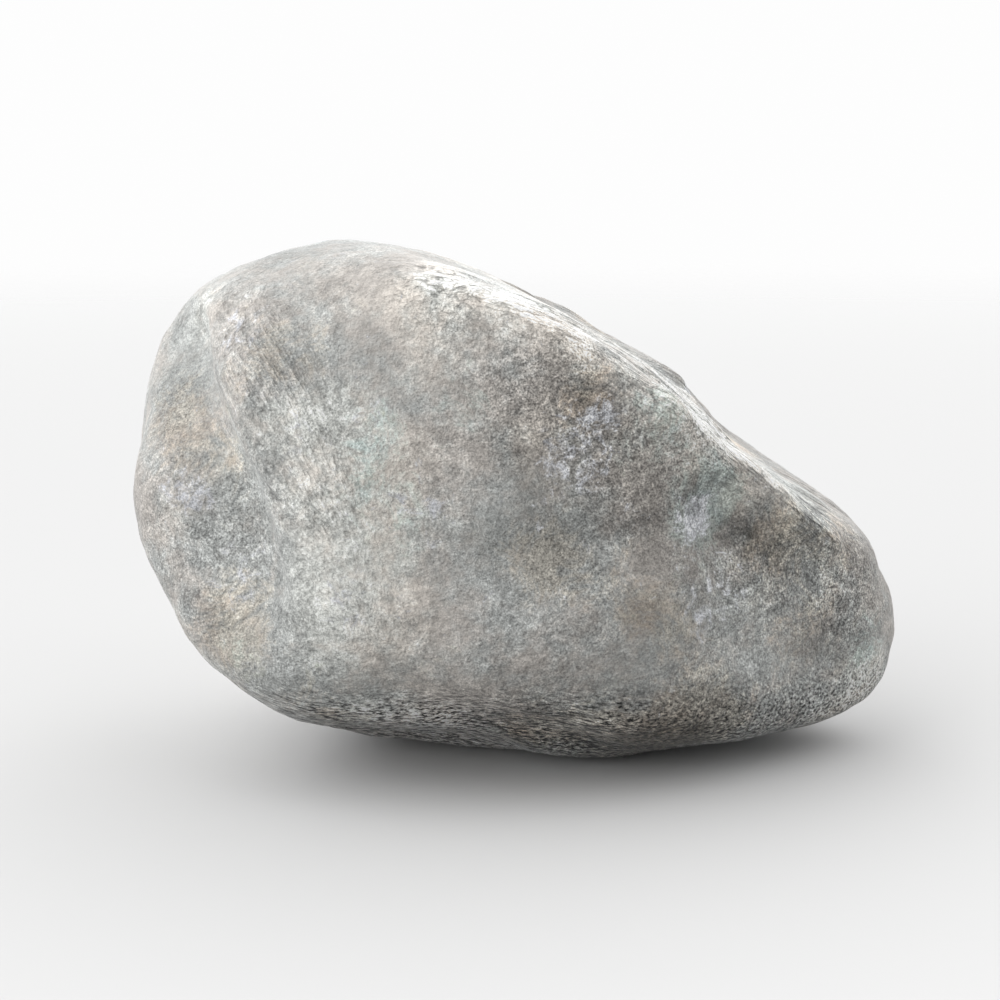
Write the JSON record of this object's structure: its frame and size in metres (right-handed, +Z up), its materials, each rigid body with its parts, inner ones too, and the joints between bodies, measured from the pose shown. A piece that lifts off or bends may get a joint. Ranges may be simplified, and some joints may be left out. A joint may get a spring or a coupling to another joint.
{
  "type": "river pebble",
  "caption": "Water-worn grey stone with a blunt high end, a long slope down to a narrow nose and a small flat under it, on which it lies.",
  "frame": {"origin": "on the ground, under the middle of the stone's box", "axes": "+X from the blunt end to the narrow nose, +Y to the back, +Z up"},
  "size_m": [0.0722, 0.0532, 0.0482],
  "materials": {
    "grey_stone": "matt, fine-grained, water-worn, mottled grey with pale, tan and grey-green blotches"
  },
  "bodies": {
    "root": {"pebble": "grey_stone"}
  },
  "joints": []
}
